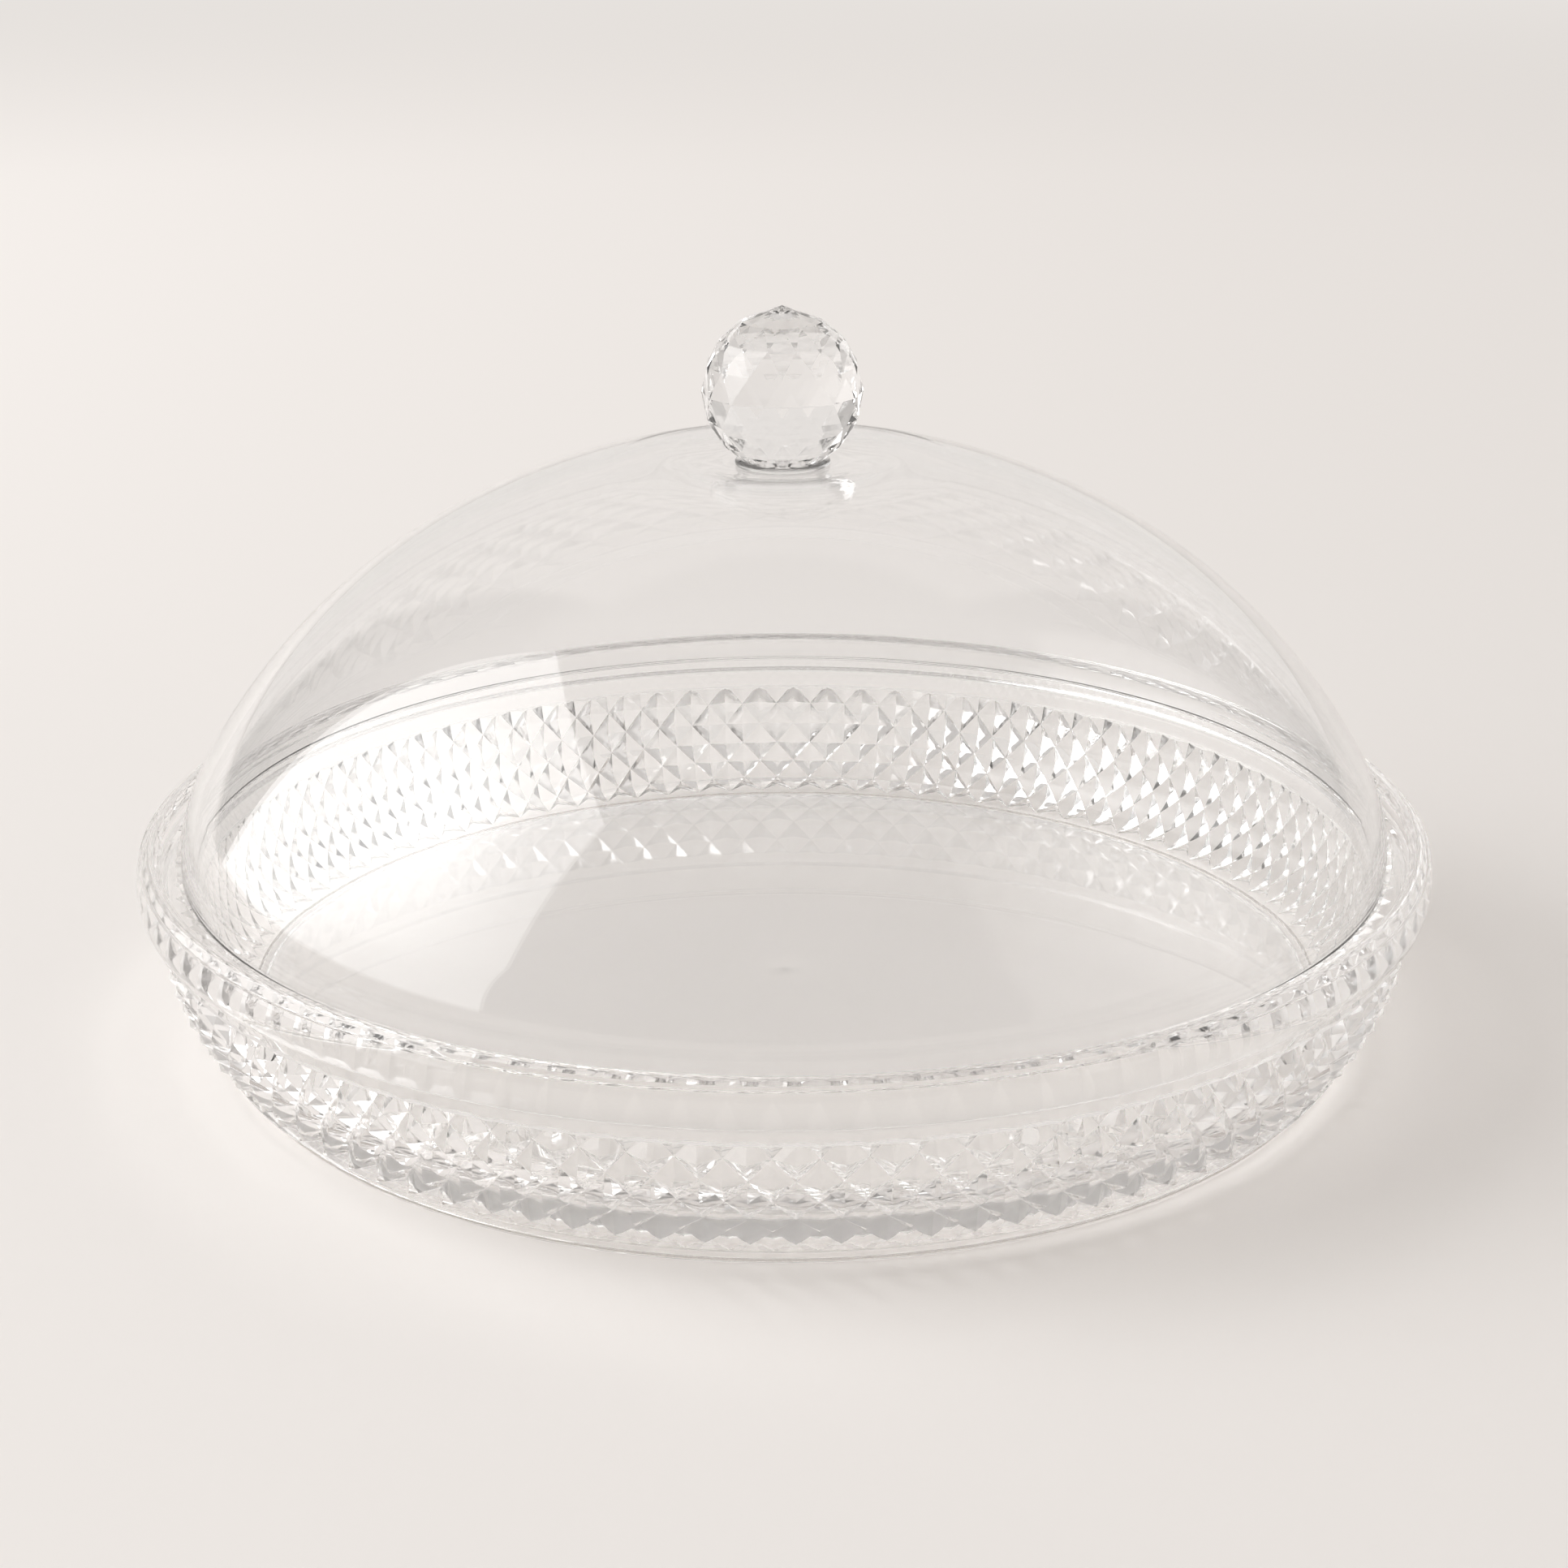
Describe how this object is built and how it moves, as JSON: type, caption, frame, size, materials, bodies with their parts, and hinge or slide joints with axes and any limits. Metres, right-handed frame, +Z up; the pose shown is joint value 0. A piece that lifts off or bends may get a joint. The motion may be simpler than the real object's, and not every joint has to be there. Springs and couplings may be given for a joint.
{
  "type": "covered cheese and butter dish",
  "caption": "Round clear covered dish for cheese or butter: shallow bowl with a diamond relief outside, a ledge for its dome lid, and a faceted ball knob.",
  "frame": {"origin": "centre of the foot ring on the surface that the dish stands on", "axes": "+Z up along the dish's axis of revolution, -Y towards the front of the picture, +X to its right"},
  "size_m": [0.25, 0.25, 0.1414],
  "materials": {
    "dish_acrylic": "clear colourless moulded acrylic, polished",
    "lid_acrylic": "clear colourless moulded acrylic, polished",
    "knob_crystal": "clear cut crystal with flat polished facets"
  },
  "bodies": {
    "root": {"dish": "dish_acrylic", "lid": "lid_acrylic", "knob": "knob_crystal"}
  },
  "joints": []
}
